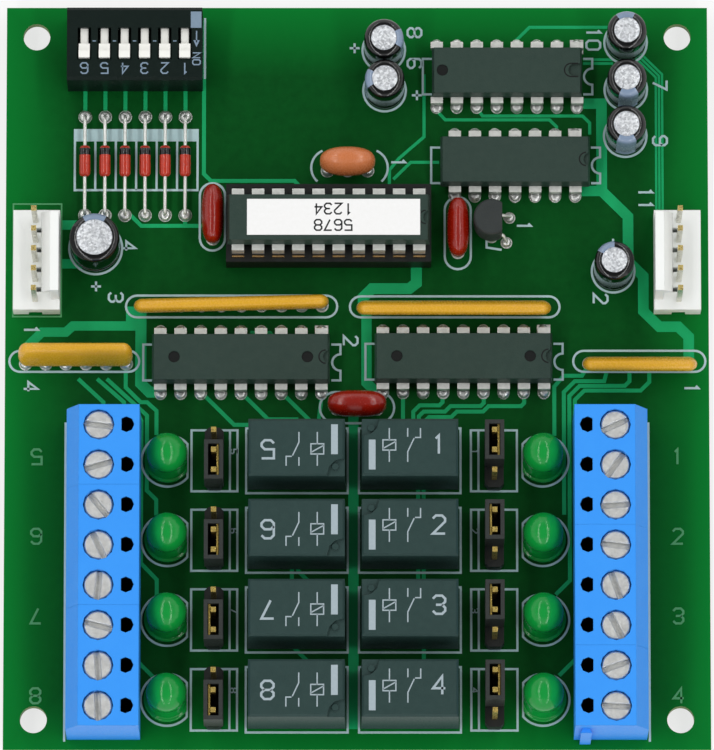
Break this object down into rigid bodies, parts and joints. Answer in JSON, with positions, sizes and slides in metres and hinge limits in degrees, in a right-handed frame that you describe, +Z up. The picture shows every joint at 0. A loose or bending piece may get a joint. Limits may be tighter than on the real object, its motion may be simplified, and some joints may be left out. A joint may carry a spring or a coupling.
{
  "type": "relay module board",
  "caption": "Circuit board with columns of small relays, status lamps and jumpers between rows of screw terminals, with control chips, an address switch and cable connectors.",
  "frame": {"origin": "under the middle of the board, at the tips of the long terminal and connector pins", "axes": "+X across the board, +Y along it towards the address switch, +Z up from the board's component side"},
  "size_m": [0.0888, 0.0952, 0.0156],
  "materials": {
    "board": "green solder mask over glass laminate",
    "terminal_plastic": "blue moulded nylon",
    "screw_steel": "zinc plated, slotted",
    "contact_metal": "tinned brass",
    "relay_case": "dark grey moulded",
    "lead_metal": "tinned leads",
    "lamp_lens": "diffused green resin",
    "header_plastic": "black moulded",
    "gold_metal": "gold flashed",
    "connector_plastic": "white nylon",
    "switch_case": "black moulded",
    "slider_plastic": "white moulded",
    "chip_case": "dark grey epoxy",
    "socket_plastic": "black moulded",
    "label_paper": "white label",
    "network_coat": "yellow dipped coating",
    "can_sleeve": "black sleeve over an aluminium can",
    "ceramic_coat": "dark red dipped coating",
    "resonator_coat": "orange brown dipped coating",
    "regulator_case": "black epoxy",
    "diode_glass": "orange glass with a black band"
  },
  "bodies": {
    "root": {"cable_connectors": "connector_plastic", "ceramic_capacitors": "ceramic_coat", "chip_leads": "lead_metal", "chip_socket": "socket_plastic", "circuit_board": "board", "component_leads": "lead_metal", "diodes": "diode_glass", "electrolytic_capacitors": "can_sleeve", "header_pins": "gold_metal", "jumper_bases": "header_plastic", "jumper_shunts": "header_plastic", "left_terminal_bottom": "terminal_plastic", "left_terminal_middle": "terminal_plastic", "left_terminal_top": "terminal_plastic", "line_transceiver": "chip_case", "logic_chip": "chip_case", "microcontroller": "chip_case", "microcontroller_label": "label_paper", "output_lamps": "lamp_lens", "regulator": "regulator_case", "relay_1": "relay_case", "relay_2": "relay_case", "relay_3": "relay_case", "relay_4": "relay_case", "relay_5": "relay_case", "relay_6": "relay_case", "relay_7": "relay_case", "relay_8": "relay_case", "relay_drivers": "chip_case", "relay_pins": "lead_metal", "resistor_networks": "network_coat", "resonator": "resonator_coat", "right_terminal_bottom": "terminal_plastic", "right_terminal_middle": "terminal_plastic", "right_terminal_top": "terminal_plastic", "shunt_clips": "gold_metal", "switch_housing": "switch_case", "terminal_contacts": "contact_metal"},
    "left_screw_1": {"left_screw_1": "screw_steel"},
    "left_screw_2": {"left_screw_2": "screw_steel"},
    "left_screw_3": {"left_screw_3": "screw_steel"},
    "left_screw_4": {"left_screw_4": "screw_steel"},
    "left_screw_5": {"left_screw_5": "screw_steel"},
    "left_screw_6": {"left_screw_6": "screw_steel"},
    "left_screw_7": {"left_screw_7": "screw_steel"},
    "left_screw_8": {"left_screw_8": "screw_steel"},
    "right_screw_1": {"right_screw_1": "screw_steel"},
    "right_screw_2": {"right_screw_2": "screw_steel"},
    "right_screw_3": {"right_screw_3": "screw_steel"},
    "right_screw_4": {"right_screw_4": "screw_steel"},
    "right_screw_5": {"right_screw_5": "screw_steel"},
    "right_screw_6": {"right_screw_6": "screw_steel"},
    "right_screw_7": {"right_screw_7": "screw_steel"},
    "right_screw_8": {"right_screw_8": "screw_steel"},
    "switch_slider_1": {"switch_slider_1": "slider_plastic"},
    "switch_slider_2": {"switch_slider_2": "slider_plastic"},
    "switch_slider_3": {"switch_slider_3": "slider_plastic"},
    "switch_slider_4": {"switch_slider_4": "slider_plastic"},
    "switch_slider_5": {"switch_slider_5": "slider_plastic"},
    "switch_slider_6": {"switch_slider_6": "slider_plastic"}
  },
  "joints": [
    {"name": "left_screw_1_turn", "type": "hinge", "parent": "root", "child": "left_screw_1", "pos_m": [-0.0323, -0.00827, 0.01515], "axis": [0, 0, 1], "range_deg": [0, 1890]},
    {"name": "left_screw_2_turn", "type": "hinge", "parent": "root", "child": "left_screw_2", "pos_m": [-0.0323, -0.01335, 0.01515], "axis": [0, 0, 1], "range_deg": [0, 1890]},
    {"name": "left_screw_3_turn", "type": "hinge", "parent": "root", "child": "left_screw_3", "pos_m": [-0.0323, -0.01843, 0.01515], "axis": [0, 0, 1], "range_deg": [0, 1890]},
    {"name": "left_screw_4_turn", "type": "hinge", "parent": "root", "child": "left_screw_4", "pos_m": [-0.0323, -0.02351, 0.01515], "axis": [0, 0, 1], "range_deg": [0, 1890]},
    {"name": "left_screw_5_turn", "type": "hinge", "parent": "root", "child": "left_screw_5", "pos_m": [-0.0323, -0.02859, 0.01515], "axis": [0, 0, 1], "range_deg": [0, 1890]},
    {"name": "left_screw_6_turn", "type": "hinge", "parent": "root", "child": "left_screw_6", "pos_m": [-0.0323, -0.03367, 0.01515], "axis": [0, 0, 1], "range_deg": [0, 1890]},
    {"name": "left_screw_7_turn", "type": "hinge", "parent": "root", "child": "left_screw_7", "pos_m": [-0.0323, -0.03875, 0.01515], "axis": [0, 0, 1], "range_deg": [0, 1890]},
    {"name": "left_screw_8_turn", "type": "hinge", "parent": "root", "child": "left_screw_8", "pos_m": [-0.0323, -0.04383, 0.01515], "axis": [0, 0, 1], "range_deg": [0, 1890]},
    {"name": "right_screw_1_turn", "type": "hinge", "parent": "root", "child": "right_screw_1", "pos_m": [0.0323, -0.00827, 0.01515], "axis": [0, 0, 1], "range_deg": [0, 1890]},
    {"name": "right_screw_2_turn", "type": "hinge", "parent": "root", "child": "right_screw_2", "pos_m": [0.0323, -0.01335, 0.01515], "axis": [0, 0, 1], "range_deg": [0, 1890]},
    {"name": "right_screw_3_turn", "type": "hinge", "parent": "root", "child": "right_screw_3", "pos_m": [0.0323, -0.01843, 0.01515], "axis": [0, 0, 1], "range_deg": [0, 1890]},
    {"name": "right_screw_4_turn", "type": "hinge", "parent": "root", "child": "right_screw_4", "pos_m": [0.0323, -0.02351, 0.01515], "axis": [0, 0, 1], "range_deg": [0, 1890]},
    {"name": "right_screw_5_turn", "type": "hinge", "parent": "root", "child": "right_screw_5", "pos_m": [0.0323, -0.02859, 0.01515], "axis": [0, 0, 1], "range_deg": [0, 1890]},
    {"name": "right_screw_6_turn", "type": "hinge", "parent": "root", "child": "right_screw_6", "pos_m": [0.0323, -0.03367, 0.01515], "axis": [0, 0, 1], "range_deg": [0, 1890]},
    {"name": "right_screw_7_turn", "type": "hinge", "parent": "root", "child": "right_screw_7", "pos_m": [0.0323, -0.03875, 0.01515], "axis": [0, 0, 1], "range_deg": [0, 1890]},
    {"name": "right_screw_8_turn", "type": "hinge", "parent": "root", "child": "right_screw_8", "pos_m": [0.0323, -0.04383, 0.01515], "axis": [0, 0, 1], "range_deg": [0, 1890]},
    {"name": "switch_1_slide", "type": "slide", "parent": "root", "child": "switch_slider_1", "axis": [0, 1, 0], "range_m": [0, 0.0019]},
    {"name": "switch_2_slide", "type": "slide", "parent": "root", "child": "switch_slider_2", "axis": [0, 1, 0], "range_m": [0, 0.0019]},
    {"name": "switch_3_slide", "type": "slide", "parent": "root", "child": "switch_slider_3", "axis": [0, 1, 0], "range_m": [0, 0.0019]},
    {"name": "switch_4_slide", "type": "slide", "parent": "root", "child": "switch_slider_4", "axis": [0, 1, 0], "range_m": [0, 0.0019]},
    {"name": "switch_5_slide", "type": "slide", "parent": "root", "child": "switch_slider_5", "axis": [0, 1, 0], "range_m": [0, 0.0019]},
    {"name": "switch_6_slide", "type": "slide", "parent": "root", "child": "switch_slider_6", "axis": [0, 1, 0], "range_m": [0, 0.0019]}
  ]
}
